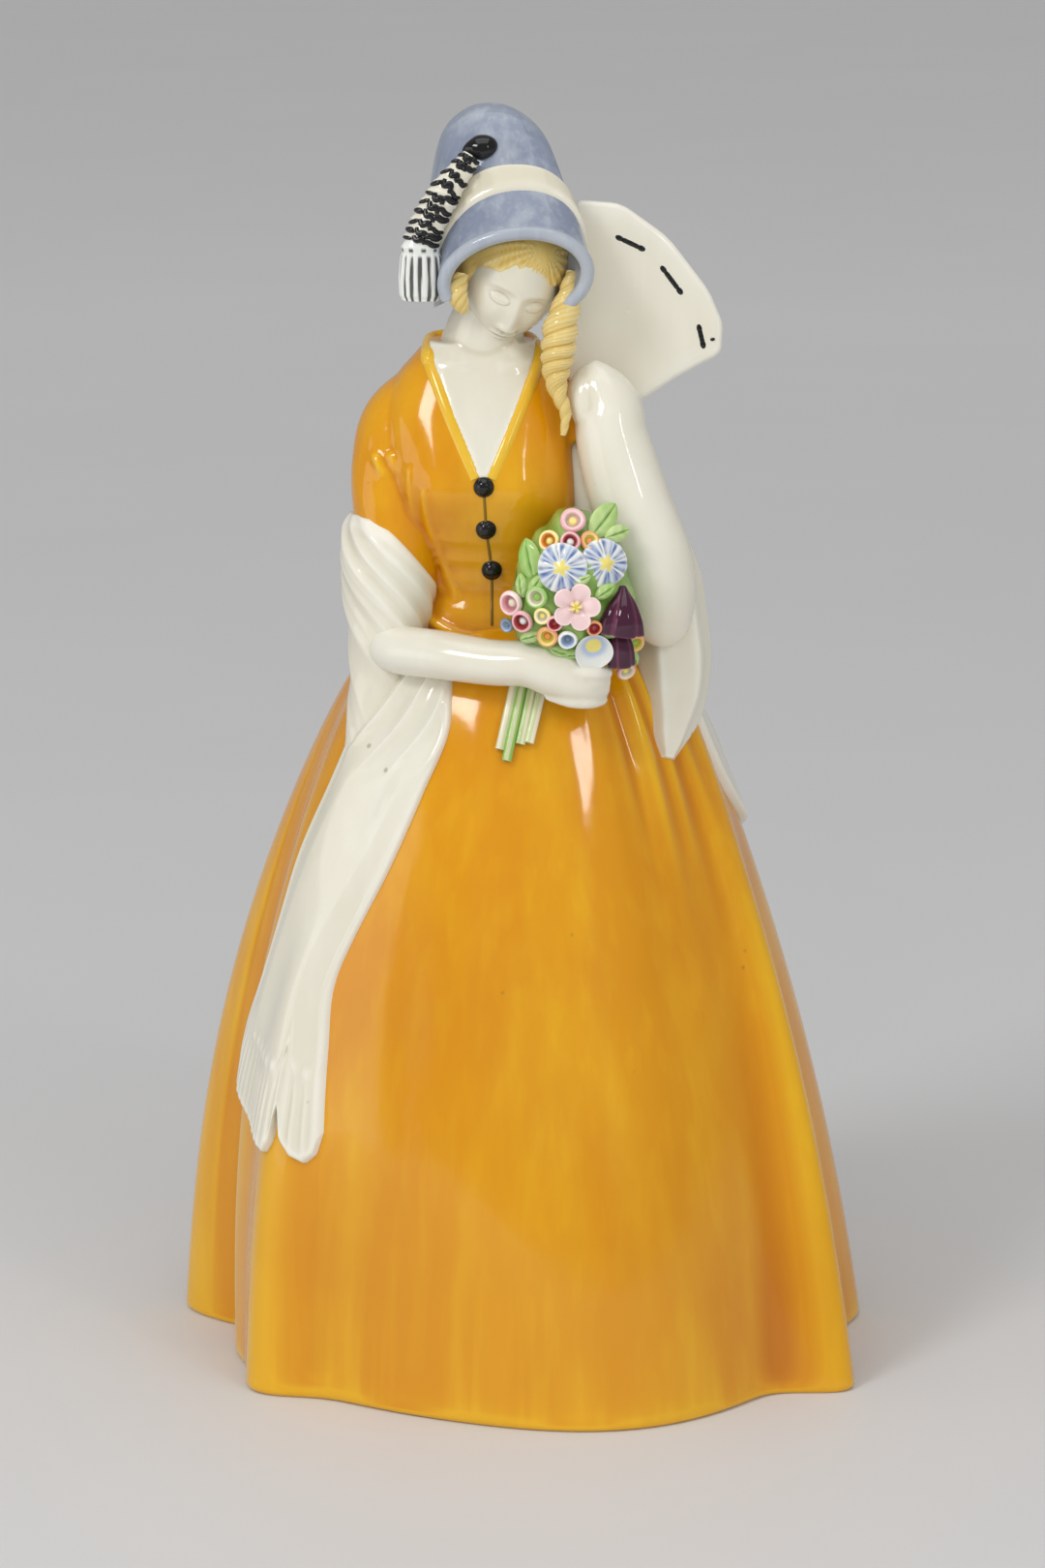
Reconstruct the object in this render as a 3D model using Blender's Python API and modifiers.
"""Glazed earthenware figurine: a lady in a crinoline dress with a poke bonnet, a shawl, a fan and a posy.

The pieces are the castings and the hand-modelled bits of clay that a maker lutes together with slip before
the firing. Metres, +Z up. The figure faces -Y and stands on the rim of its hollow skirt at z = 0.
"""

import math

import bmesh
import bpy
from mathutils import Matrix, Vector

MM = 0.001

# Driving dimensions

JOINT_GAP = 0.3 * MM  # slip joint between two luted pieces
WELD = 0.001 * MM
VOLUME_SLACK = 0.01  # share of a piece's volume by which a join or a cut may fail to add up
SOLVER_SLACK = 0.004  # and by which the two solvers may differ

SKIRT_HEIGHT = 150 * MM
WAIST_HALF_WIDTH = 18 * MM
WAIST_HALF_DEPTH = 16 * MM
WAIST_X = -3 * MM
HEM_HALF_WIDTH = 64 * MM
HEM_HALF_DEPTH = 59.5 * MM
SKIRT_WALL = 4 * MM
HEM_ROUND = 1.5 * MM
SKIRT_BULGE = 0.10  # how far the bell swells beyond a plain root curve
SKIRT_SWAY = -2.6 * MM  # how far its middle swings to the side half-way down
FOLD_RISE = 1.1  # how quickly the folds deepen towards the hem
SKIRT_SEGMENTS = 64
SKIRT_RINGS = 9
LINING_RINGS = 3

# Skirt folds: angle round the skirt from +X at the hem in degrees, depth at the hem in mm, half-width in
# degrees, and how many degrees the fold has moved round by the time it reaches the waist
SKIRT_FOLDS = (
    (-172, -7.0, 7, 0), (-142, 7.5, 8, 0), (-72, 7.4, 28, 0), (-33, 12.5, 6.5, 14), (-15, -3.0, 7, 12),
    (5, 4.4, 8, 8), (18, -4.0, 8, 6), (34, 4.0, 9, 4), (51, -3.5, 8, 3), (67, 4.0, 9, 2), (86, -3.5, 8, 0),
    (104, 4.0, 9, -2), (122, -3.5, 8, -3), (139, 4.0, 9, -4), (156, -4.0, 8, -6), (172, 8.1, 8, -4),
)

# Bodice sections: height over the waist, centre x, half-width, reach to the front, reach to the back, in mm
BODICE_SECTIONS = (
    (-6.0, -3.0, 19.5, 17.0, 15.5), (1.5, -3.0, 18.8, 16.6, 15.0), (6.0, -3.6, 16.6, 14.8, 13.2),
    (12.0, -4.8, 17.0, 15.4, 13.0), (20.0, -6.6, 18.6, 17.8, 13.2), (27.0, -8.0, 19.6, 19.0, 13.5),
    (34.0, -8.6, 19.2, 17.6, 13.6), (41.0, -8.8, 18.6, 14.6, 13.0), (47.0, -8.6, 16.0, 11.4, 11.6),
    (51.0, -8.4, 12.8, 9.2, 9.8), (54.0, -8.2, 10.4, 7.4, 8.2),
)
BODICE_SEGMENTS = 20

# Limbs: x, y, height over the waist and radius in mm, from the body outwards
RIGHT_SLEEVE = (
    (-16.0, 1.0, 42.5, 8.4), (-22.6, -1.0, 36.6, 9.2), (-24.6, -4.0, 29.5, 8.9),
    (-24.8, -7.0, 21.0, 8.7), (-24.0, -9.5, 12.0, 8.2),
)
LEFT_SLEEVE = ((-1.0, 1.0, 43.0, 8.4), (4.4, -0.5, 38.0, 8.6), (8.4, -2.0, 32.0, 8.0))
RIGHT_ARM = (
    (-26.5, -13.0, -2.6, 5.2), (-24.4, -18.5, -4.2, 5.3), (-16.0, -25.5, -3.9, 5.2), (-6.0, -30.0, -4.4, 4.9),
    (1.0, -32.0, -5.2, 4.8), (6.6, -33.0, -6.8, 5.8), (10.8, -33.2, -7.8, 6.2), (14.2, -32.0, -7.4, 4.8),
    (15.8, -31.0, -6.6, 1.8),
)
LEFT_UPPER_ARM = (
    (6.4, -1.5, 34.0, 6.6), (13.0, -5.0, 24.0, 6.4), (20.6, -9.0, 11.0, 6.2), (25.9, -13.0, 3.0, 5.6),
)
LEFT_FOREARM = (
    (26.8, -16.0, -2.0, 3.4), (26.8, -17.5, 1.6, 6.0), (25.2, -18.0, 12.0, 7.2), (20.8, -16.0, 24.0, 7.6),
    (17.4, -12.5, 36.0, 7.1), (17.0, -10.0, 43.0, 6.5), (16.2, -8.5, 48.0, 5.3), (15.4, -7.5, 51.0, 2.4),
)
LEFT_FINGER = (
    (21.4, -9.0, 43.0, 1.8), (18.0, -11.5, 49.0, 2.0), (13.4, -9.0, 50.5, 1.7), (11.2, -7.0, 47.0, 1.2),
)
# Fingers of the right hand, closed round the stalks: the first one's path, and the step to the next, in mm
RIGHT_FINGER = ((8.6, -37.4, -3.6, 1.5), (13.4, -37.4, -3.8, 1.8), (16.0, -34.2, -4.0, 1.5))
FINGER_STEP = (-0.3, 0.1, -2.6)
FINGERS = 4
LIMB_SEGMENTS = 10

# Head: centre over the waist, half-sizes and the turn of the face
HEAD_X, HEAD_Y, HEAD_OVER_WAIST = -2.5 * MM, -3.0 * MM, 66 * MM
HEAD_HALF_WIDTH = 9.2 * MM
HEAD_HALF_DEPTH = 11.5 * MM
HEAD_HALF_HEIGHT = 12.6 * MM
HEAD_NOD = 14  # degrees, chin down
HEAD_TURN = 14  # degrees, face towards the fan
HEAD_LEAN = 18  # degrees, crown towards the fan
NECK = ((-8.0, 0.0, 44.0, 8.4), (-7.6, -1.0, 52.0, 8.0), (-6.2, -1.6, 58.0, 7.4), (-4.4, -1.5, 64.0, 7.0))
# Neckline: height over the waist and half-width in mm, from the point upwards
NECKLINE_X = -7.6 * MM
NECKLINE = ((29.0, 0.7), (34.0, 2.9), (41.0, 6.0), (48.0, 8.8), (56.0, 11.6))
NECKLINE_FRONT, NECKLINE_BACK = -24 * MM, -3 * MM
SKIN_SET_BACK = 0.7  # mm that the bare chest lies under the jacket's edge
HAIR_PAD = 2.8 * MM  # thickness of the hair over the skull
HAIR_SET_BACK = 4.0 * MM  # how far the hairline sits behind the face

# Bonnet arches, from the rim over the crown to the nape, in mm from the head's centre:
# foot centre x, y, z; crest x, y, z; half-width; squareness of the arch
BONNET_ARCHES = (
    (1.2, -11.0, 2.0, 3.4, -14.0, 12.0, 14.6, 2.0), (0.6, -8.0, 3.0, 3.0, -10.5, 15.2, 14.4, 2.1),
    (-0.2, -5.0, 4.0, 2.2, -6.5, 19.6, 14.0, 2.2), (-1.0, -3.0, 4.5, 0.8, -3.4, 23.4, 13.6, 2.4),
    (-1.8, -0.5, 5.0, -1.2, 0.4, 29.0, 13.3, 2.6), (-2.2, 2.0, 5.5, -2.8, 4.6, 32.6, 13.2, 2.6),
    (-2.6, 4.5, 5.5, -4.2, 10.4, 33.0, 13.0, 2.5), (-3.0, 6.0, 5.0, -5.0, 16.0, 28.5, 12.8, 2.3),
    (-3.2, 6.5, 3.5, -5.2, 18.6, 18.0, 12.4, 2.1), (-3.2, 6.0, 1.0, -5.0, 17.5, 8.0, 11.6, 2.0),
    (-3.2, 4.0, -1.0, -4.6, 14.5, 0.5, 10.5, 2.0),
)
BONNET_WALL = 2.0 * MM
BONNET_DROOP = 112  # degrees from the crest of an arch to its foot at the rim
NAPE_DROOP = 104
BONNET_SEGMENTS = 16
RIBBON_FROM, RIBBON_TO = 1.75, 2.85  # arch numbers that the ribbon runs between
RIBBON_THICKNESS = 0.7 * MM
RIBBON_LIFT = 0.48 * MM  # its clearance over the curved wall, which a slip joint alone would not keep
RIBBON_DROOP = 96  # degrees from the crest to its ends

# Bonnet trimming, placed by arch number and degrees from the crest
ROSETTE_AT = (3.6, -18)
ROSETTE_RADIUS = 3.3 * MM
ROSETTE_SQUASH = (1.0, 0.78, 0.6)
ROSETTE_TILT = 0.8  # how far it looks to the front, as a share of how far it looks out
# Plaited cord: x, y, z from the head's centre and half-width, in mm
BRAID = ((-5.9, -3.8, 25.0, 2.5), (-10.6, -6.2, 18.9, 3.6), (-14.6, -7.2, 13.2, 4.1), (-17.2, -7.6, 8.2, 4.0))
BRAID_FLATNESS = 0.6
TASSEL_LENGTH = 11 * MM
TASSEL_STRANDS = 8

# Hair that hangs free: x, y, z from the head's centre and radius, in mm
RINGLET = (
    (10.2, -8.5, -3.0, 2.6), (9.6, -9.5, -8.0, 3.8), (8.8, -10.5, -14.0, 3.8), (8.8, -11.5, -19.5, 3.0),
    (10.2, -12.5, -24.0, 1.8), (11.4, -13.0, -28.5, 0.7),
)
RINGLET_TWISTS = 2.5
RINGLET_LOBES = 3
RINGLET_GROOVE = 0.1  # share of its radius
TEMPLE_CURL = (
    (-9.4, -8.0, 2.0, 1.6), (-10.2, -9.0, -1.6, 2.3), (-9.2, -8.6, -5.0, 1.8), (-8.4, -7.6, -6.4, 0.8),
)

# Fan leaf, from the gripping hand: outline x, z in mm
FAN_OUTLINE = (
    (-9.0, 2.0), (-9.5, 24.0), (-7.0, 36.6), (2.4, 35.8), (11.6, 29.2), (19.6, 18.8), (22.4, 12.4),
    (22.0, 6.4), (13.6, 2.0), (6.4, -2.8), (-1.0, -8.0),
)
FAN_X, FAN_Y, FAN_OVER_WAIST = 17 * MM, 0.0 * MM, 44.5 * MM
FAN_THICKNESS = 3.6 * MM
FAN_EDGE_ROUND = 1.0 * MM
FAN_LEAN = 5  # degrees, top edge back

# Shawl: the loop over the right elbow and the end over the left one, with x, y, height over the waist
# and radius in mm; the flat ends lie on the skirt between two angles, with the depth under the waist in mm
SHAWL_LOOP = (
    (-24.6, -7.2, 20.0, 10.2), (-25.6, -9.4, 13.0, 10.3), (-26.0, -11.0, 6.0, 9.4), (-26.6, -12.5, -2.0, 7.8),
    (-27.4, -13.2, -10.0, 6.6), (-29.4, -14.8, -19.0, 5.2),
)
SHAWL_END = (
    (17.5, 2.0, 27.0, 1.4), (21.0, 1.2, 23.5, 4.2), (26.0, -1.5, 16.5, 5.6), (28.4, -5.0, 8.5, 6.4),
    (29.0, -8.0, 0.0, 6.8), (29.4, -10.0, -8.0, 7.6), (29.2, -13.5, -16.0, 6.6), (28.6, -18.5, -22.0, 3.8),
    (28.4, -20.8, -25.8, 1.4),
)
SHAWL_THICKNESS = 1.9 * MM
SHAWL_FOLDS = 6  # creases round the gathered shawl
SHAWL_CREASE = 0.07  # their depth as a share of its radius
SHAWL_WIND = 0.45  # turns that they make along it
SHAWL_SEGMENTS = 18
SHAWL_TAIL = (
    (8, -150, -117), (18, -150, -115), (30, -151, -117), (45, -151, -121), (60, -152, -124), (78, -157, -130),
    (96, -162, -132),
)
TAIL_NOTCH = 9 * MM  # depth of the cleft in the fringe
TAIL_POINT = 6 * MM  # how far the two fringe points hang below the edge
CLEFT_AT, CLEFT_SPREAD = 0.64, 0.06  # shares of the tail's width
SHAWL_BACK = ((6, 4, 172), (18, -8, 160), (32, -6, 156), (44, 6, 152), (52, 26, 142), (57, 52, 118))
TAIL_COLUMNS, BACK_COLUMNS = 8, 14

BUTTON_RADIUS = 1.9 * MM
BUTTON_RISE = 1.5 * MM
BUTTON_HEIGHTS = (28.0, 19.4, 10.8)  # over the waist, in mm
BUTTON_LINE_X = (-7.5, -7.1, -6.0)

# Posy: the clay wad that carries it, from the waist in mm, and its half-sizes
POSY_CENTRE = (9.5, -26.0, 9.6)
POSY_HALF = (12.0, 13.6, 16.0)
POSY_TAPER = 0.3  # how much narrower it gets towards the top
POSY_BRIM = 0.94  # share of the wad's outline past which a blossom overhangs it
# Blossoms: name, kind, place on the wad in shares of its half-width and half-height, radius in mm, colour
BLOSSOMS = (
    ("blue_daisy_left", "daisy", -0.18, 0.41, 4.5, "cornflower"),
    ("blue_daisy_right", "daisy", 0.46, 0.42, 4.4, "cornflower"),
    ("pink_blossom", "petals", 0.05, -0.04, 4.5, "rose"),
    ("pansy", "pansy", 0.31, -0.58, 3.8, "chalk"),
    ("purple_bell_upper", "bell", 0.72, -0.12, 4.2, "plum"),
    ("purple_bell_lower", "bell", 0.74, -0.62, 2.9, "plum"),
    ("pink_ring_top", "ring", 0.01, 0.88, 2.5, "rose"),
    ("red_ring_top", "ring", -0.03, 0.68, 2.0, "brick"),
    ("yellow_ring_top", "ring", -0.34, 0.67, 2.1, "lemon"),
    ("orange_ring_top", "ring", 0.26, 0.68, 1.9, "tangerine"),
    ("pink_ring_left", "ring", -0.92, -0.10, 2.5, "rose"),
    ("red_ring_left", "ring", -0.76, -0.28, 2.2, "brick"),
    ("green_ring", "ring", -0.54, 0.04, 2.2, "leaf"),
    ("yellow_ring_left", "ring", -0.46, -0.18, 1.7, "lemon"),
    ("orange_ring_left", "ring", -0.38, -0.43, 2.1, "tangerine"),
    ("white_ring", "ring", -0.07, -0.46, 1.9, "chalk"),
    ("red_ring_middle", "ring", 0.34, -0.32, 1.6, "brick"),
    ("orange_ring_right", "ring", 0.98, -0.60, 2.0, "tangerine"),
)
# Leaves: name, place on the wad as above, half-length in mm and tilt in degrees
LEAVES = (("leaf_right", 0.49, 0.88, 4.6, 40), ("leaf_left", -0.66, 0.42, 4.4, -70))
LEAF_THICKNESS = 1.0 * MM
STEMS = ((-0.9, -4.0), (1.0, -2.1), (2.9, -0.2), (4.8, 1.7))  # x at the hand and at the cut end, mm
STEM_RADIUS = 0.9 * MM
STEM_TOP, STEM_END = -8.0 * MM, -22.5 * MM  # height over the waist

# Glaze colours, 0 to 255
GLAZES = {
    "ochre": (222, 158, 32), "cream": (229, 224, 204), "lavender": (152, 162, 190), "straw": (224, 194, 108),
    "black": (22, 22, 24), "leaf": (150, 196, 84), "rose": (226, 168, 170), "brick": (172, 52, 46),
    "cornflower": (104, 130, 186), "plum": (78, 28, 56), "tangerine": (228, 150, 42), "lemon": (238, 220, 118),
    "chalk": (222, 228, 226),
}
GLAZE_ROUGHNESS = 0.12

# The plain forms that each piece was made from, before any seat was cut in it
forms = {}


# Materials and objects

def linear(channel):
    share = channel / 255
    return share / 12.92 if share <= 0.04045 else ((share + 0.055) / 1.055) ** 2.4


def glaze(name):
    """The glossy glaze of that colour, made once."""
    material = bpy.data.materials.get(name)
    if material is None:
        material = bpy.data.materials.new(name)
        material.use_nodes = True
        shader = material.node_tree.nodes["Principled BSDF"]
        shader.inputs["Base Color"].default_value = (*map(linear, GLAZES[name]), 1.0)
        shader.inputs["Roughness"].default_value = GLAZE_ROUGHNESS
        shader.inputs["Metallic"].default_value = 0.0
    return material


def new_piece(name, bm, colour):
    """A named object in the figurine's collection from a bmesh, with outward faces and smooth shading."""
    bmesh.ops.recalc_face_normals(bm, faces=bm.faces)
    if bm.calc_volume(signed=True) < 0:
        bmesh.ops.reverse_faces(bm, faces=bm.faces)
    mesh = bpy.data.meshes.new(name)
    bm.to_mesh(mesh)
    bm.free()
    mesh.shade_smooth()
    mesh.set_sharp_from_angle(angle=math.radians(40))
    mesh.materials.append(glaze(colour))
    piece = bpy.data.objects.new(name, mesh)
    bpy.data.collections["crinoline_lady"].objects.link(piece)
    forms[name] = [mesh.copy()]
    return piece


def evaluated_mesh(piece):
    bpy.context.view_layer.update()
    return bpy.data.meshes.new_from_object(piece.evaluated_get(bpy.context.evaluated_depsgraph_get()))


def apply_modifiers(piece):
    mesh = evaluated_mesh(piece)
    piece.modifiers.clear()
    piece.data = mesh


def volume_of(mesh):
    """The mesh's volume, or None if it isn't closed."""
    bm = bmesh.new()
    bm.from_mesh(mesh)
    closed = bool(bm.faces) and all(edge.is_manifold for edge in bm.edges)
    volume = bm.calc_volume() if closed else None
    bm.free()
    return volume


def solved(piece, other, operation, solver):
    """The mesh that one solver makes of two pieces, and its volume, None if it isn't closed."""
    modifier = piece.modifiers.new("joint", "BOOLEAN")
    modifier.solver = solver
    modifier.operation = operation
    modifier.object = other
    mesh = evaluated_mesh(piece)
    piece.modifiers.clear()
    return mesh, (volume_of(mesh) if len(mesh.polygons) else 0.0)


def boolean(piece, other, operation):
    """Joins or cuts; the second solver is for volumes of the first that don't add up or that it can't confirm."""
    mine, cut = volume_of(piece.data), volume_of(other.data)
    slack = VOLUME_SLACK * mine
    results = []
    for solver in ("EXACT", "MANIFOLD"):
        mesh, volume = solved(piece, other, operation, solver)
        _, shared = solved(piece, other, "INTERSECT", solver)
        if volume is None or shared is None:
            continue
        expected = {"UNION": mine + cut - shared, "DIFFERENCE": mine - shared, "INTERSECT": shared}[operation]
        if abs(volume - expected) < slack and shared < min(mine, cut) + slack and volume > slack:
            results.append((mesh, volume))
    if not results:
        raise ValueError(f"{piece.name} can't be joined or cut")
    (first, size), (last, proof) = results[0], results[-1]
    piece.data = first if abs(size - proof) < SOLVER_SLACK * mine else last


def join(piece, *others):
    """One casting from overlapping forms."""
    for other in others:
        boolean(piece, other, "UNION")
        forms[piece.name] += forms.pop(other.name)
        bpy.data.objects.remove(other)
    return piece


def grown_cutter(form, gap):
    """A cutter: a plain form with every wall moved out by the gap."""
    bm = bmesh.new()
    bm.from_mesh(form)
    bm.normal_update()
    moves = [(v, v.normal * min(v.calc_shell_factor(), 2.0) * gap) for v in bm.verts]
    for vert, move in moves:
        vert.co += move
    mesh = bpy.data.meshes.new("cutter")
    bm.to_mesh(mesh)
    bm.free()
    cutter = bpy.data.objects.new("cutter", mesh)
    cutter.hide_render = True
    cutter.display_type = "WIRE"
    bpy.data.collections["cutters"].objects.link(cutter)
    return cutter


def near(piece, cutter):
    """True if the boxes of the two meet."""
    boxes = []
    for mesh in (piece.data, cutter.data):
        points = [vert.co for vert in mesh.vertices]
        boxes.append([(min(p[i] for p in points), max(p[i] for p in points)) for i in range(3)])
    return all(a[0] < b[1] and b[0] < a[1] for a, b in zip(*boxes))


def spread(faces):
    """The sum of the three sides of the box round some faces."""
    points = [vert.co for face in faces for vert in face.verts]
    return sum(max(p[i] for p in points) - min(p[i] for p in points) for i in range(3))


def keep_main_body(piece):
    """Drops the crumbs that a cut leaves, and welds its slivers where that keeps the piece closed."""
    bm = bmesh.new()
    bm.from_mesh(piece.data)
    bmesh.ops.remove_doubles(bm, verts=bm.verts, dist=WELD)
    if not all(edge.is_manifold for edge in bm.edges):
        bm.clear()
        bm.from_mesh(piece.data)
    unseen = set(bm.faces)
    bodies = []
    while unseen:
        stack, body = [unseen.pop()], []
        while stack:
            face = stack.pop()
            body.append(face)
            beside = [other for edge in face.edges for other in edge.link_faces]
            fresh = {other for other in beside if other in unseen}
            unseen -= fresh
            stack.extend(fresh)
        bodies.append(body)
    bodies.sort(key=spread, reverse=True)
    bmesh.ops.delete(bm, geom=[face for body in bodies[1:] for face in body], context="FACES")
    bm.to_mesh(piece.data)
    bm.free()


def carve(piece, *neighbours):
    """Cuts the seats of the neighbours, with the slip joint round them, out of a piece."""
    for form in [form for neighbour in neighbours for form in forms[neighbour.name]]:
        cutter = grown_cutter(form, JOINT_GAP)
        if near(piece, cutter):
            boolean(piece, cutter, "DIFFERENCE")
        bpy.data.objects.remove(cutter)
    keep_main_body(piece)
    return piece


# Curves and lofts

def spline(stations, share):
    """A smooth curve through the stations, read at a share of its length from 0 to 1, as a tuple."""
    last = len(stations) - 1
    place = min(max(share, 0.0), 1.0) * last
    i = min(int(place), last - 1)
    u = place - i
    a, b, c, d = (stations[min(max(k, 0), last)] for k in (i - 1, i, i + 1, i + 2))
    return tuple(
        0.5 * (2 * q + (r - p) * u + (2 * p - 5 * q + 4 * r - s) * u * u + (3 * q - p - 3 * r + s) * u ** 3)
        for p, q, r, s in zip(a, b, c, d)
    )


def loft(name, rings, colour):
    """A closed solid through rings of as many points each, with flat ends."""
    bm = bmesh.new()
    rows = [[bm.verts.new(point) for point in ring] for ring in rings]
    count = len(rows[0])
    for upper, lower in zip(rows, rows[1:]):
        for k in range(count):
            nxt = (k + 1) % count
            bm.faces.new((upper[k], upper[nxt], lower[nxt], lower[k]))
    bm.faces.new(rows[0])
    bm.faces.new(list(reversed(rows[-1])))
    return new_piece(name, bm, colour)


def ring_of(centre, across, along, count, radius_at=lambda angle: 1.0):
    """Points round a centre; across and along are the half-axes."""
    points = []
    for k in range(count):
        angle = 2 * math.pi * k / count
        share = radius_at(angle)
        points.append(centre + (across * math.cos(angle) + along * math.sin(angle)) * share)
    return points


def tube(name, stations, colour, origin, steps, flatten=1.0, lobes=0, lobe_depth=0.0, twists=0.0,
         sides=LIMB_SEGMENTS):
    """A limb along a smooth path; stations are x, y, z and radius in mm from the origin."""
    samples = [spline(stations, i / steps) for i in range(steps + 1)]
    centres = [origin + Vector(sample[:3]) * MM for sample in samples]
    rings = []
    side = Vector((1.0, 0.0, 0.0))
    for i, (centre, sample) in enumerate(zip(centres, samples)):
        ahead = (centres[min(i + 1, steps)] - centres[max(i - 1, 0)]).normalized()
        if abs(ahead.dot(side)) > 0.95:
            side = Vector((0.0, 1.0, 0.0))
        side = (side - ahead * side.dot(ahead)).normalized()
        radius = sample[3] * MM
        turn = 2 * math.pi * twists * i / steps
        rings.append(ring_of(
            centre, side * radius, ahead.cross(side) * radius * flatten, sides,
            lambda angle: 1 + lobe_depth * math.cos(lobes * angle - lobes * turn),
        ))
    return loft(name, rings, colour)


def waist():
    return Vector((0.0, 0.0, SKIRT_HEIGHT))


def head_centre():
    return Vector((HEAD_X, HEAD_Y, SKIRT_HEIGHT + HEAD_OVER_WAIST))


# Skirt and the shawl that lies on it

def fold_depth(angle, drop):
    """How far the folds move the skirt's wall at an angle in radians; drop runs from 0, waist, to 1, hem."""
    total = 0.0
    for place, depth, half_width, drift in SKIRT_FOLDS:
        off = (math.degrees(angle) - place - drift * (1 - drop) + 180) % 360 - 180
        total += depth * MM * math.exp(-((off / half_width) ** 2))
    return total * drop ** FOLD_RISE


def skirt_point(angle, height, out=0.0):
    """A point of the skirt's outer wall, moved out by some distance."""
    drop = min(max(1 - height / SKIRT_HEIGHT, 0.0), 1.0)
    swell = math.sqrt(drop) * (1 + SKIRT_BULGE * math.sin(math.pi * drop))
    half_width = WAIST_HALF_WIDTH + (HEM_HALF_WIDTH - WAIST_HALF_WIDTH) * swell
    half_depth = WAIST_HALF_DEPTH + (HEM_HALF_DEPTH - WAIST_HALF_DEPTH) * swell
    oval = 1 / math.hypot(math.cos(angle) / half_width, math.sin(angle) / half_depth)
    radius = oval + fold_depth(angle, drop) + out
    centre = WAIST_X * (1 - drop) ** 2 + SKIRT_SWAY * math.sin(math.pi * drop)
    return Vector((centre + radius * math.cos(angle), radius * math.sin(angle), height))


def skirt_ring(height, out=0.0, level=None):
    ring = [skirt_point(2 * math.pi * k / SKIRT_SEGMENTS, height, out) for k in range(SKIRT_SEGMENTS)]
    if level is not None:
        for point in ring:
            point.z = level
    return ring


def hem_shift():
    """Brings the middle of the hem's outline over the origin."""
    ring = skirt_ring(0.0)
    middle = [(min(p[i] for p in ring) + max(p[i] for p in ring)) / 2 for i in range(2)]
    return Vector((-middle[0], -middle[1], 0.0))


def make_skirt(shift):
    """The slip-cast bell: outer wall, rounded foot rim and the hollow inside, open at the floor."""
    rings = []
    for i in range(SKIRT_RINGS):
        drop = (i / (SKIRT_RINGS - 1)) ** 2
        rings.append(skirt_ring(HEM_ROUND + (SKIRT_HEIGHT - HEM_ROUND) * (1 - drop)))
    rings.append(skirt_ring(0.0, -HEM_ROUND))
    rings.append(skirt_ring(0.0, -SKIRT_WALL))
    for i in range(LINING_RINGS):
        drop = 1 - ((i + 1) / LINING_RINGS) ** 0.6
        height = (SKIRT_HEIGHT - SKIRT_WALL) * (1 - drop)
        rings.append(skirt_ring(height, -SKIRT_WALL, level=height))
    return loft("skirt", [[point + shift for point in ring] for ring in rings], "ochre")


def panel(name, rows, columns, shift, lower_edge):
    """A slab through the skirt's wall; rows give a depth under the waist in mm and two edges in degrees."""
    bm = bmesh.new()
    layers = []
    steps = len(rows) + 2
    for out in (-SKIRT_WALL / 2, 3 * SHAWL_THICKNESS):
        grid = []
        for i in range(steps + 1):
            depth, left, right = spline(rows, i / steps)
            line = []
            for j in range(columns + 1):
                share = j / columns
                fall = lower_edge(share) * max(0.0, i / steps - 0.7) / 0.3
                angle = math.radians(left + (right - left) * share)
                height = SKIRT_HEIGHT - depth * MM - fall
                line.append(bm.verts.new(skirt_point(angle, height, out) + shift))
            grid.append(line)
        layers.append(grid)
    inner, outer = layers
    for i in range(steps):
        for j in range(columns):
            for grid, flip in ((outer, False), (inner, True)):
                face = [grid[i][j], grid[i + 1][j], grid[i + 1][j + 1], grid[i][j + 1]]
                bm.faces.new(reversed(face) if flip else face)
    border = [(i, 0) for i in range(steps)] + [(steps, j) for j in range(columns)]
    border += [(i, columns) for i in range(steps, 0, -1)] + [(0, j) for j in range(columns, 0, -1)]
    for (i, j), (k, m) in zip(border, border[1:] + border[:1]):
        bm.faces.new((inner[i][j], inner[k][m], outer[k][m], outer[i][j]))
    return new_piece(name, bm, "cream")


def drape(name, rows, columns, shift, lower_edge=lambda share: 0.0):
    """A layer of shawl that follows the skirt: the part of a thicker skirt that lies in the panel."""
    piece = panel(name, rows, columns, shift, lower_edge)
    thicker = grown_cutter(forms["skirt"][0], SHAWL_THICKNESS)
    boolean(piece, thicker, "INTERSECT")
    bpy.data.objects.remove(thicker)
    forms[name] = [piece.data.copy()]
    return piece


def gathered(name, stations, steps):
    """A bunched stretch of the shawl, with creases that wind along it."""
    return tube(
        name, stations, "cream", waist(), steps, lobes=SHAWL_FOLDS, lobe_depth=SHAWL_CREASE, twists=SHAWL_WIND,
        sides=SHAWL_SEGMENTS,
    )


def fringe_edge(share):
    """The tail's lower edge: two points with a cleft between them."""
    points = TAIL_POINT * (1 - (2 * share - 1) ** 4)
    return points - TAIL_NOTCH * math.exp(-(((share - CLEFT_AT) / CLEFT_SPREAD) ** 2))


# Body

def torso(name, inset=0.0):
    """The jacket's trunk through its sections; the inset in mm makes it smaller all round."""
    rings = []
    for height, x, half_width, front, back in reversed(BODICE_SECTIONS):
        centre = waist() + Vector((x, 0.0, height)) * MM
        ring = []
        for k in range(BODICE_SEGMENTS):
            angle = 2 * math.pi * k / BODICE_SEGMENTS
            reach = (back if math.sin(angle) > 0 else front) - inset
            across = (half_width - inset) * math.cos(angle)
            ring.append(centre + Vector((across, reach * math.sin(angle), 0.0)) * MM)
        rings.append(ring)
    return loft(name, rings, "ochre")


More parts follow.
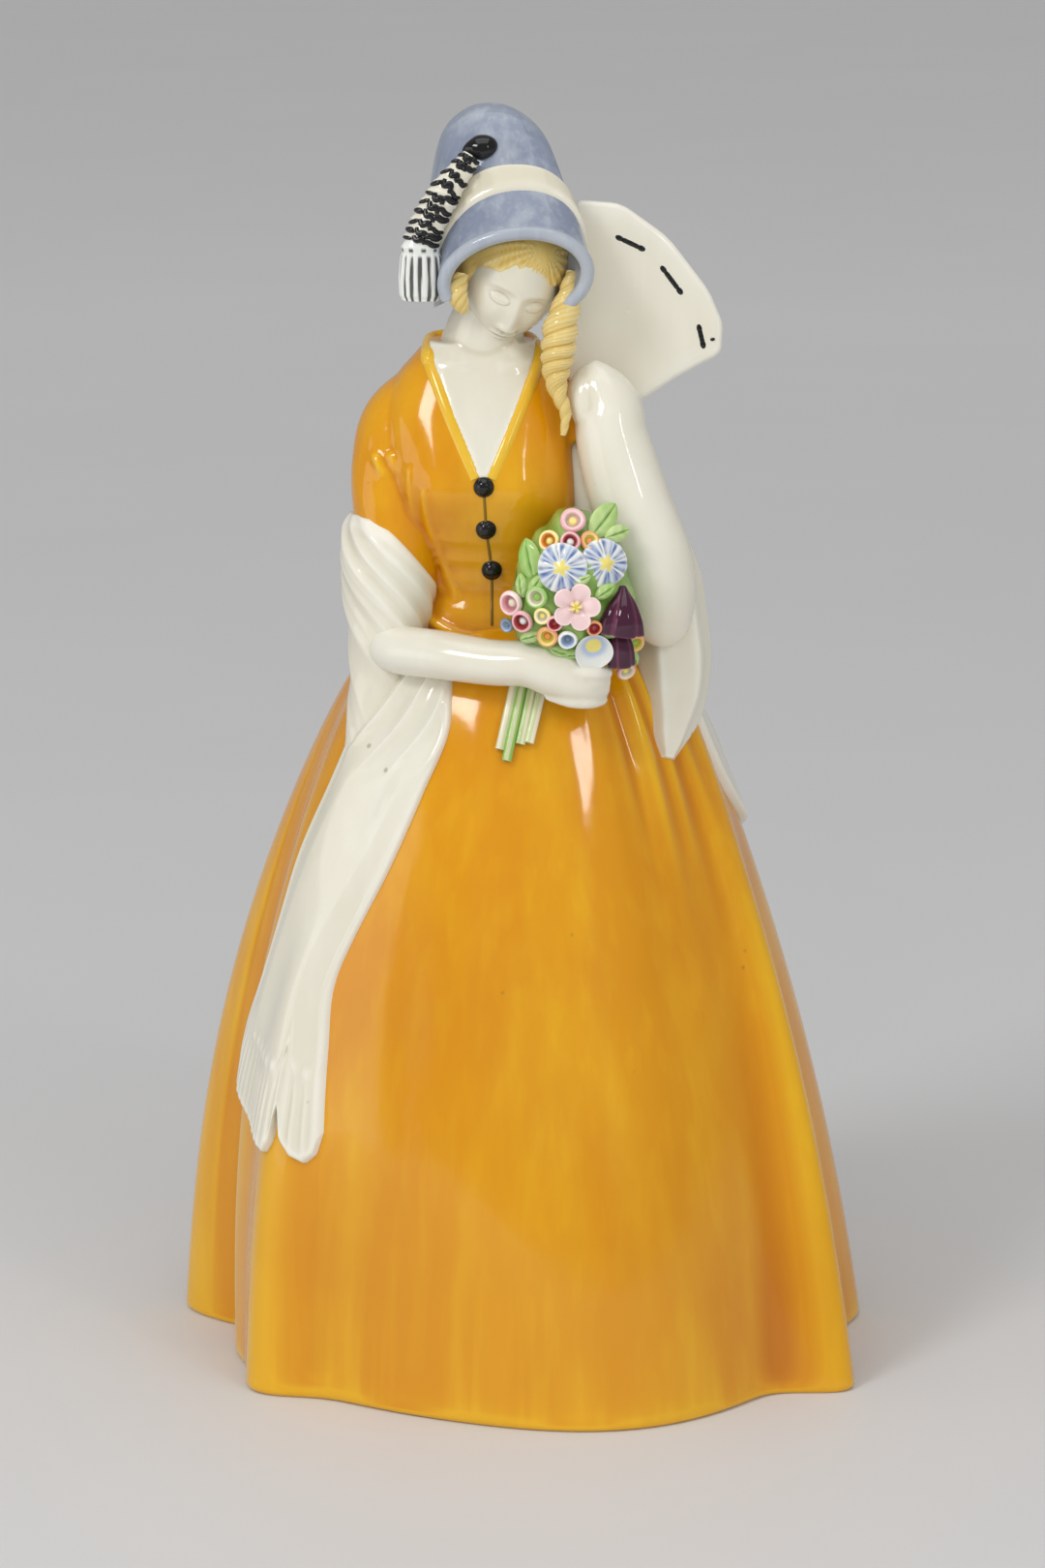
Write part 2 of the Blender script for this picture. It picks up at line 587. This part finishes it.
def make_neckline(name):
    """The wedge of the open neck, through the jacket's front."""
    rings = []
    for height, half_width in reversed(NECKLINE):
        level = SKIRT_HEIGHT + height * MM
        left, right = NECKLINE_X - half_width * MM, NECKLINE_X + half_width * MM
        front, back = NECKLINE_FRONT, NECKLINE_BACK
        corners = ((left, front), (right, front), (right, back), (left, back))
        rings.append([Vector((x, y, level)) for x, y in corners])
    return loft(name, rings, "cream")


def make_bodice():
    """The jacket's casting with its sleeve stumps."""
    sleeves = [
        tube("right_sleeve", RIGHT_SLEEVE, "ochre", waist(), 8),
        tube("left_sleeve", LEFT_SLEEVE, "ochre", waist(), 5),
    ]
    return join(torso("bodice"), *sleeves)


def make_right_arm():
    """The lowered arm with its hand closed round the posy's stalks."""
    arm = tube("right_arm", RIGHT_ARM, "cream", waist(), 16, flatten=0.9)
    fingers = []
    for k in range(FINGERS):
        moved = []
        for station in RIGHT_FINGER:
            moved.append(tuple(a + k * b for a, b in zip(station, FINGER_STEP)) + station[3:])
        fingers.append(tube(f"finger_{k}", moved, "cream", waist(), 3, sides=6))
    return join(arm, *fingers)


def make_left_arm():
    """The raised arm: upper arm, forearm with the hand, and the finger hooked over the fan."""
    forearm = tube("left_arm", LEFT_FOREARM, "cream", waist(), 12)
    upper = tube("upper_arm", LEFT_UPPER_ARM, "cream", waist(), 6)
    finger = tube("finger", LEFT_FINGER, "cream", waist(), 7)
    return join(forearm, upper, finger)


def head_turn():
    nod = Matrix.Rotation(math.radians(HEAD_NOD), 4, "X")
    turn = Matrix.Rotation(math.radians(HEAD_TURN), 4, "Z")
    lean = Matrix.Rotation(math.radians(HEAD_LEAN), 4, "Y")
    return lean @ turn @ nod


def skull_point(point, pad=0.0):
    """Shapes a point of a unit sphere into the egg of the head, in the head's own frame, facing -Y."""
    x, y, z = point
    jaw = max(0.0, -z)
    narrow = 1 - 0.34 * jaw ** 2
    front = max(0.0, -y)
    reach = 1 - 0.10 * jaw * front - 0.12 * jaw * max(0.0, y)
    return Vector((
        x * narrow * (HEAD_HALF_WIDTH + pad),
        y * reach * (HEAD_HALF_DEPTH + pad),
        z * (HEAD_HALF_HEIGHT + pad),
    ))


def make_head():
    """Face, neck and bare chest in one casting."""
    bm = bmesh.new()
    bmesh.ops.create_uvsphere(bm, u_segments=20, v_segments=12, radius=1.0)
    place = Matrix.Translation(head_centre()) @ head_turn()
    for vert in bm.verts:
        x, z = vert.co.x, vert.co.z
        shaped = skull_point(vert.co)
        if vert.co.y < 0:
            nose = math.exp(-((x / 0.16) ** 2) - ((z + 0.22) / 0.24) ** 2)
            sockets = math.exp(-((abs(x) - 0.42) / 0.2) ** 2 - ((z - 0.04) / 0.14) ** 2)
            shaped.y += (0.7 * sockets - 2.2 * nose) * MM
        vert.co = place @ shaped
    skull = new_piece("head", bm, "cream")
    chest = make_neckline("chest")
    inside = torso("inside", SKIN_SET_BACK)
    boolean(chest, inside, "INTERSECT")
    forms["chest"] = [chest.data.copy()]
    bpy.data.objects.remove(inside)
    neck = tube("neck", NECK, "cream", waist(), 6)
    return join(skull, neck, chest)


def make_hair():
    """The hair over the skull, which carries the bonnet."""
    bm = bmesh.new()
    bmesh.ops.create_uvsphere(bm, u_segments=14, v_segments=8, radius=1.0)
    back = Vector((0.0, HAIR_SET_BACK, HAIR_SET_BACK / 2))
    place = Matrix.Translation(head_centre()) @ head_turn() @ Matrix.Translation(back)
    for vert in bm.verts:
        vert.co = place @ skull_point(vert.co, HAIR_PAD)
    return new_piece("hair", bm, "straw")


# Bonnet

def bonnet_point(arch, degrees, out=0.0):
    """A point of the bonnet's outer wall by arch number and degrees from the crest, moved out from the foot."""
    last = len(BONNET_ARCHES) - 1
    fx, fy, fz, cx, cy, cz, half_width, square = spline(BONNET_ARCHES, arch / last)
    foot, crest = Vector((fx, fy, fz)) * MM, Vector((cx, cy, cz)) * MM
    rise = crest - foot
    rise += rise.normalized() * out
    angle = math.radians(degrees)
    sine, cosine = math.sin(angle), math.cos(angle)
    across = math.copysign(abs(sine) ** (2 / square), sine) * (half_width * MM + out)
    up = math.copysign(abs(cosine) ** (2 / square), cosine)
    return head_centre() + foot + rise * up + Vector((across, 0.0, 0.0))


def bonnet_sheet(name, first, last, steps, droop, thickness, out, colour):
    """A shell between two arches of the bonnet, thickened inwards or outwards."""
    bm = bmesh.new()
    grid = []
    for i in range(steps + 1):
        arch = first + (last - first) * i / steps
        limit = droop(arch)
        line = []
        for j in range(BONNET_SEGMENTS + 1):
            degrees = -limit + 2 * limit * j / BONNET_SEGMENTS
            line.append(bm.verts.new(bonnet_point(arch, degrees, out)))
        grid.append(line)
    for i in range(steps):
        for j in range(BONNET_SEGMENTS):
            bm.faces.new((grid[i][j], grid[i][j + 1], grid[i + 1][j + 1], grid[i + 1][j]))
    sheet = new_piece(name, bm, colour)
    solid = sheet.modifiers.new("wall", "SOLIDIFY")
    solid.thickness = abs(thickness)
    solid.offset = -1.0 if thickness > 0 else 1.0
    solid.use_even_offset = True
    apply_modifiers(sheet)
    forms[name] = [sheet.data.copy()]
    return sheet


def rim_droop(arch):
    share = arch / (len(BONNET_ARCHES) - 1)
    return BONNET_DROOP + (NAPE_DROOP - BONNET_DROOP) * share


def make_bonnet():
    last = len(BONNET_ARCHES) - 1
    return bonnet_sheet("bonnet", 0, last, last, rim_droop, BONNET_WALL, 0.0, "lavender")


def make_ribbon():
    return bonnet_sheet(
        "bonnet_ribbon", RIBBON_FROM, RIBBON_TO, 3, lambda arch: RIBBON_DROOP, -RIBBON_THICKNESS, RIBBON_LIFT,
        "cream",
    )


def make_rosette():
    bm = bmesh.new()
    bmesh.ops.create_uvsphere(bm, u_segments=12, v_segments=8, radius=ROSETTE_RADIUS)
    seat = bonnet_point(*ROSETTE_AT)
    out = (seat - head_centre()).normalized() - Vector((0.0, ROSETTE_TILT, 0.0))
    turn = out.to_track_quat("Z", "Y").to_matrix().to_4x4()
    flat = Matrix.Diagonal((*ROSETTE_SQUASH, 1.0))
    bmesh.ops.transform(bm, matrix=Matrix.Translation(seat) @ turn @ flat, verts=bm.verts)
    return new_piece("bonnet_rosette", bm, "black")


def make_braid():
    """The plaited cord that falls from the rosette down the bonnet's side."""
    return tube("bonnet_braid", BRAID, "cream", head_centre(), 9, flatten=BRAID_FLATNESS)


def make_tassel():
    """The loose threads at the cord's end, ribbed all round."""
    x, y, z, half_width = (value * MM for value in BRAID[-1])
    top = head_centre() + Vector((x, y, z))
    rings = []
    for share, swell in ((-0.1, 0.8), (0.15, 1.02), (0.6, 1.08), (1.0, 0.6)):
        centre = top - Vector((0.0, 0.0, share * TASSEL_LENGTH))
        across = Vector((half_width * swell, 0.0, 0.0))
        along = Vector((0.0, half_width * swell * BRAID_FLATNESS, 0.0))
        rings.append(ring_of(
            centre, across, along, 2 * TASSEL_STRANDS, lambda angle: 1 + 0.06 * math.cos(TASSEL_STRANDS * angle)
        ))
    return loft("bonnet_tassel", rings, "black")


def make_fan():
    """The fan leaf: a flat outline with rounded edges."""
    curve = bpy.data.curves.new("fan", "CURVE")
    curve.dimensions = "2D"
    curve.fill_mode = "BOTH"
    curve.extrude = FAN_THICKNESS / 2 - FAN_EDGE_ROUND
    curve.bevel_depth = FAN_EDGE_ROUND
    curve.bevel_resolution = 1
    line = curve.splines.new("POLY")
    line.points.add(len(FAN_OUTLINE) - 1)
    for point, (x, z) in zip(line.points, FAN_OUTLINE):
        point.co = (x * MM, z * MM, 0.0, 1.0)
    line.use_cyclic_u = True
    drawn = bpy.data.objects.new("fan_outline", curve)
    bpy.data.collections["cutters"].objects.link(drawn)
    drawn.location = (FAN_X, FAN_Y, SKIRT_HEIGHT + FAN_OVER_WAIST)
    drawn.rotation_euler = (math.radians(90 - FAN_LEAN), 0.0, 0.0)
    bm = bmesh.new()
    bm.from_mesh(evaluated_mesh(drawn))
    bmesh.ops.remove_doubles(bm, verts=bm.verts, dist=10 * WELD)
    bmesh.ops.transform(bm, matrix=drawn.matrix_world, verts=bm.verts)
    bpy.data.objects.remove(drawn)
    return new_piece("fan", bm, "cream")


# Buttons and posy

def dome(name, seat, out, radius, height, colour):
    """A round bead pressed on a surface."""
    bm = bmesh.new()
    bmesh.ops.create_uvsphere(bm, u_segments=10, v_segments=6, radius=radius)
    turn = out.to_track_quat("Z", "Y").to_matrix().to_4x4()
    flat = Matrix.Diagonal((1.0, 1.0, height / radius, 1.0))
    bmesh.ops.transform(bm, matrix=Matrix.Translation(seat) @ turn @ flat, verts=bm.verts)
    return new_piece(name, bm, colour)


def bodice_front(x, height):
    """The jacket's front at an x and a height over the waist, in mm, as a point."""
    for lower, upper in zip(BODICE_SECTIONS, BODICE_SECTIONS[1:]):
        if lower[0] <= height <= upper[0]:
            share = (height - lower[0]) / (upper[0] - lower[0])
            _, middle, half_width, front, _ = (a + (b - a) * share for a, b in zip(lower, upper))
            reach = front * math.sqrt(max(0.0, 1 - ((x - middle) / half_width) ** 2))
            return waist() + Vector((x, -reach, height)) * MM
    raise ValueError("the height lies outside the bodice")


def make_buttons():
    names = ("button_top", "button_middle", "button_bottom")
    made = []
    for name, x, height in zip(names, BUTTON_LINE_X, BUTTON_HEIGHTS):
        seat = bodice_front(x, height)
        made.append(dome(name, seat, Vector((0.0, -1.0, 0.0)), BUTTON_RADIUS, BUTTON_RISE, "black"))
    return made


def make_wad():
    bm = bmesh.new()
    bmesh.ops.create_uvsphere(bm, u_segments=12, v_segments=9, radius=1.0)
    for vert in bm.verts:
        vert.co.x *= 1 - POSY_TAPER * vert.co.z
        vert.co = waist() + (Vector(POSY_CENTRE) + vert.co * Vector(POSY_HALF)) * MM
    return new_piece("posy_wad", bm, "leaf")


def posy_seat(across, up):
    """Where a blossom sits on the wad's front, and the way it faces, by shares of the wad's half-sizes."""
    x, height = POSY_CENTRE[0] + across * POSY_HALF[0], POSY_CENTRE[2] + up * POSY_HALF[2]
    taper = 1 - POSY_TAPER * up
    half_width = POSY_HALF[0] * taper
    dx, dz = across / taper, up
    reach = math.hypot(dx, dz)
    if reach > POSY_BRIM:
        dx, dz = dx * POSY_BRIM / reach, dz * POSY_BRIM / reach
    dy = -math.sqrt(1 - dx * dx - dz * dz)
    out = Vector((dx / half_width, dy / POSY_HALF[1], dz / POSY_HALF[2])).normalized()
    face = (out + Vector((0.0, -1.0, 0.0))).normalized()
    seat = waist() + Vector((x, POSY_CENTRE[1] + dy * POSY_HALF[1], height)) * MM
    return Matrix.Translation(seat) @ face.to_track_quat("Z", "Y").to_matrix().to_4x4()


# Blossom profiles: share of the radius and height in radii, from the back to the middle of the face
PROFILES = {
    "ring": ((0.55, -1.2), (1.0, 0.45), (0.8, 0.75), (0.5, 0.55), (0.2, 0.7)),
    "daisy": ((0.3, -0.9), (1.0, 0.05), (0.92, 0.22), (0.5, 0.36), (0.2, 0.52)),
    "petals": ((0.3, -0.9), (1.0, 0.15), (0.9, 0.3), (0.45, 0.18), (0.2, 0.4)),
    "pansy": ((0.3, -0.9), (1.0, 0.15), (0.9, 0.3), (0.45, 0.18), (0.2, 0.4)),
    "bell": ((0.3, -0.8), (1.0, 0.2), (0.9, 0.45), (0.5, 0.8), (0.15, 1.15)),
}
PETAL_DEPTH = {"ring": 0.0, "daisy": 0.05, "petals": 0.17, "pansy": 0.17, "bell": 0.1}
PETALS = {"ring": 0, "daisy": 12, "petals": 5, "pansy": 3, "bell": 6}
BLOSSOM_SEGMENTS = {"ring": 8, "daisy": 24, "petals": 10, "pansy": 9, "bell": 12}


def make_blossom(name, kind, across, up, radius, colour):
    place = posy_seat(across, up)
    rings = []
    for share, level in reversed(PROFILES[kind]):
        depth = PETAL_DEPTH[kind] * share
        ring = ring_of(
            Vector((0.0, 0.0, level * radius * MM)), Vector((radius * share * MM, 0.0, 0.0)),
            Vector((0.0, radius * share * MM, 0.0)), BLOSSOM_SEGMENTS[kind],
            lambda angle: 1 + depth * math.cos(PETALS[kind] * angle),
        )
        rings.append([place @ point for point in ring])
    return loft(name, rings, colour)


def make_leaf(name, across, up, length, tilt):
    """A pointed leaf with a ridge, lying over the wad."""
    place = posy_seat(across, up) @ Matrix.Rotation(math.radians(tilt), 4, "Z")
    rings = []
    for along, width in ((-1.0, 0.1), (-0.6, 0.42), (0.0, 0.55), (0.55, 0.4), (1.0, 0.08)):
        centre = Vector((along * length * MM, 0.0, 0.0))
        across = Vector((0.0, width * length * MM, 0.0))
        rings.append([place @ p for p in ring_of(centre, across, Vector((0.0, 0.0, LEAF_THICKNESS)), 8)])
    return loft(name, rings, "leaf")


def make_stem(number, x_top, x_end, shift):
    """A stalk from the hand down to its cut end on the skirt."""
    points = []
    for x, rise in ((x_top, STEM_TOP), (x_end, STEM_END)):
        height = SKIRT_HEIGHT + rise
        angle = -math.pi / 2
        for _ in range(6):
            spot = skirt_point(angle, height, STEM_RADIUS + JOINT_GAP) + shift
            angle += (x * MM - spot.x) / HEM_HALF_WIDTH
        points.append(spot)
    stations = [(*((point - waist()) / MM), STEM_RADIUS / MM) for point in points]
    middle = tuple((a + b) / 2 for a, b in zip(*stations))
    middle = (middle[0], middle[1] - STEM_RADIUS / MM / 2, *middle[2:])
    return tube(f"stem_{number}", [stations[0], middle, stations[1]], "leaf", waist(), 4)


# Assembly

def main():
    for old in list(bpy.data.objects):
        bpy.data.objects.remove(old)
    for name in ("crinoline_lady", "cutters"):
        collection = bpy.data.collections.get(name) or bpy.data.collections.new(name)
        if collection.name not in bpy.context.scene.collection.children:
            bpy.context.scene.collection.children.link(collection)

    shift = hem_shift()
    skirt = make_skirt(shift)
    head = make_head()
    neckline = make_neckline("neckline")
    bodice = carve(make_bodice(), skirt, head, neckline)
    bpy.data.objects.remove(neckline)
    right_arm = carve(make_right_arm(), skirt, bodice)
    left_arm = carve(make_left_arm(), skirt, bodice)

    hair = carve(make_hair(), head)
    bonnet = carve(make_bonnet(), head, hair)
    ribbon = make_ribbon()
    rosette = carve(make_rosette(), bonnet, ribbon)
    braid = carve(make_braid(), bonnet, ribbon, rosette)
    tassel = carve(make_tassel(), bonnet, ribbon, braid)
    bonnet_pieces = (bonnet, ribbon, rosette, braid, tassel)
    ringlet = tube(
        "ringlet", RINGLET, "straw", head_centre(), 15, lobes=RINGLET_LOBES, lobe_depth=RINGLET_GROOVE,
        twists=RINGLET_TWISTS,
    )
    carve(ringlet, head, hair, *bonnet_pieces, bodice, left_arm)
    carve(tube("temple_curl", TEMPLE_CURL, "straw", head_centre(), 5), head, hair, *bonnet_pieces)
    carve(make_fan(), *bonnet_pieces, hair, ringlet, left_arm, bodice, head)

    tail = drape("shawl_tail", SHAWL_TAIL, TAIL_COLUMNS, shift, fringe_edge)
    back = drape("shawl_back", SHAWL_BACK, BACK_COLUMNS, shift)
    carve(tail, skirt, bodice, right_arm)
    carve(back, skirt, bodice, tail)
    carve(gathered("shawl_loop", SHAWL_LOOP, 10), skirt, bodice, right_arm, tail, back)
    carve(gathered("shawl_end", SHAWL_END, 11), skirt, bodice, left_arm, back)

    for button in make_buttons():
        carve(button, bodice, head)
    wad = carve(make_wad(), skirt, bodice, right_arm, left_arm)
    placed = [skirt, bodice, left_arm, wad]
    blossoms = []
    for blossom in BLOSSOMS:
        blossoms.append(carve(make_blossom(*blossom), *placed, *blossoms))
    carve(right_arm, *blossoms)
    placed += [right_arm, *blossoms]
    for leaf in LEAVES:
        placed.append(carve(make_leaf(*leaf), *placed))
    for number, (x_top, x_end) in enumerate(STEMS, 1):
        placed.append(carve(make_stem(number, x_top, x_end, shift), *placed))


main()
